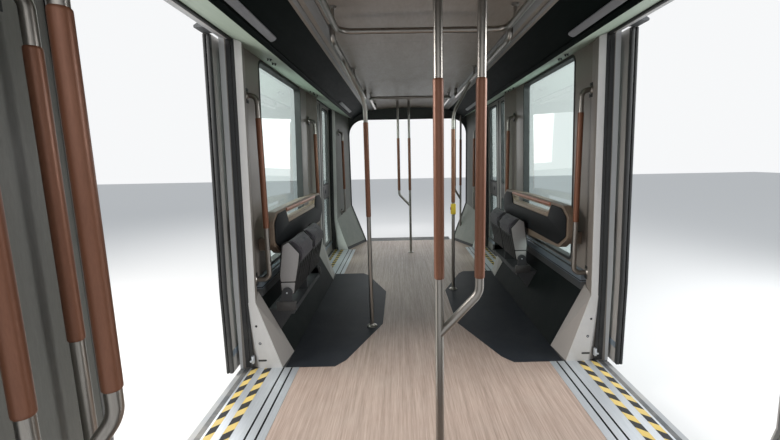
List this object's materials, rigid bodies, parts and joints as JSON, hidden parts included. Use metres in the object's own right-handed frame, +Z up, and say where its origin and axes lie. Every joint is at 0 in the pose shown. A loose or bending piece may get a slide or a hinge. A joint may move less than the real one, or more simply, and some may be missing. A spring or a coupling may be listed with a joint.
{
  "type": "tram door section",
  "caption": "Low-floor tram body section between two gangways, with wide sliding doorways, grab poles, windows and tip-up seats.",
  "frame": {"origin": "centre of the section, at the underside of the sole bars", "axes": "+Y along the tram, +Z up, +X across it"},
  "size_m": [2.774, 7, 3.03],
  "materials": {
    "underframe": "satin dark paint",
    "floor": "wood-grain vinyl",
    "inlay": "dark vinyl",
    "ledge": "anodised",
    "sill": "brushed",
    "grip": "yellow and black grip strip",
    "body_skin": "gloss paint",
    "glass": "tinted",
    "roof": "matt paint",
    "ceiling": "satin",
    "cove": "gloss black",
    "soffit": "satin",
    "lamp": "diffuser",
    "end_frame": "dark paint",
    "lining": "satin",
    "flare": "satin",
    "bellows": "coated fabric",
    "bridge": "ribbed",
    "coupling": "cast steel",
    "pillar": "satin",
    "trim": "satin",
    "leaf": "satin",
    "tube": "satin",
    "sleeve": "copper",
    "backrest": "textured",
    "seat_mount": "satin",
    "roof_unit": "matt",
    "seat_shell": "satin",
    "seat_fabric": "woven"
  },
  "bodies": {
    "door_section": {"backrests": "backrest", "bay_walls": "body_skin", "bellows_front": "bellows", "bellows_rear": "bellows", "cantrails": "body_skin", "ceiling": "ceiling", "ceiling_rails": "tube", "corner_walls": "body_skin", "coves": "cove", "cross_bearers": "underframe", "door_glass": "glass", "door_hangers": "coupling", "door_leaves": "leaf", "door_posts": "pillar", "door_sills": "sill", "end_cabinets": "lining", "end_flares": "flare", "end_forks": "tube", "end_frame_front": "end_frame", "end_frame_rear": "end_frame", "floor_covering": "floor", "floor_deck": "underframe", "floor_inlays": "inlay", "fork_poles": "tube", "gangway_bridges": "bridge", "grab_rails": "tube", "lamp_bars": "lamp", "lower_couplings": "coupling", "post_trims": "trim", "rail_sleeves": "sleeve", "risers": "inlay", "roof_fairings": "roof_unit", "roof_shell": "roof", "roof_unit": "roof_unit", "seat_mount_left": "seat_mount", "seat_mount_right": "seat_mount", "side_poles": "tube", "sill_grips": "grip", "skirts": "body_skin", "soffits": "soffit", "sole_bars": "underframe", "wall_ledges": "ledge", "windows": "glass"},
    "seat_left_outer": {"seat_shell_left_outer": "seat_shell", "seat_cushion_left_outer": "seat_fabric"},
    "seat_left_inner": {"seat_shell_left_inner": "seat_shell", "seat_cushion_left_inner": "seat_fabric"},
    "seat_right_outer": {"seat_shell_right_outer": "seat_shell", "seat_cushion_right_outer": "seat_fabric"},
    "seat_right_inner": {"seat_shell_right_inner": "seat_shell", "seat_cushion_right_inner": "seat_fabric"}
  },
  "joints": [
    {"name": "seat_left_outer_tip", "type": "hinge", "parent": "door_section", "child": "seat_left_outer", "pos_m": [-1.03, 0, 0.72], "axis": [0, 1, 0], "range_deg": [0, 80], "stiffness_Nm_per_rad": 14, "springref_deg": -85.94},
    {"name": "seat_left_inner_tip", "type": "hinge", "parent": "door_section", "child": "seat_left_inner", "pos_m": [-1.03, 0, 0.72], "axis": [0, 1, 0], "range_deg": [0, 80], "stiffness_Nm_per_rad": 14, "springref_deg": -85.94},
    {"name": "seat_right_outer_tip", "type": "hinge", "parent": "door_section", "child": "seat_right_outer", "pos_m": [1.03, 0, 0.72], "axis": [0, -1, 0], "range_deg": [0, 80], "stiffness_Nm_per_rad": 14, "springref_deg": -85.94},
    {"name": "seat_right_inner_tip", "type": "hinge", "parent": "door_section", "child": "seat_right_inner", "pos_m": [1.03, 0, 0.72], "axis": [0, -1, 0], "range_deg": [0, 80], "stiffness_Nm_per_rad": 14, "springref_deg": -85.94}
  ]
}
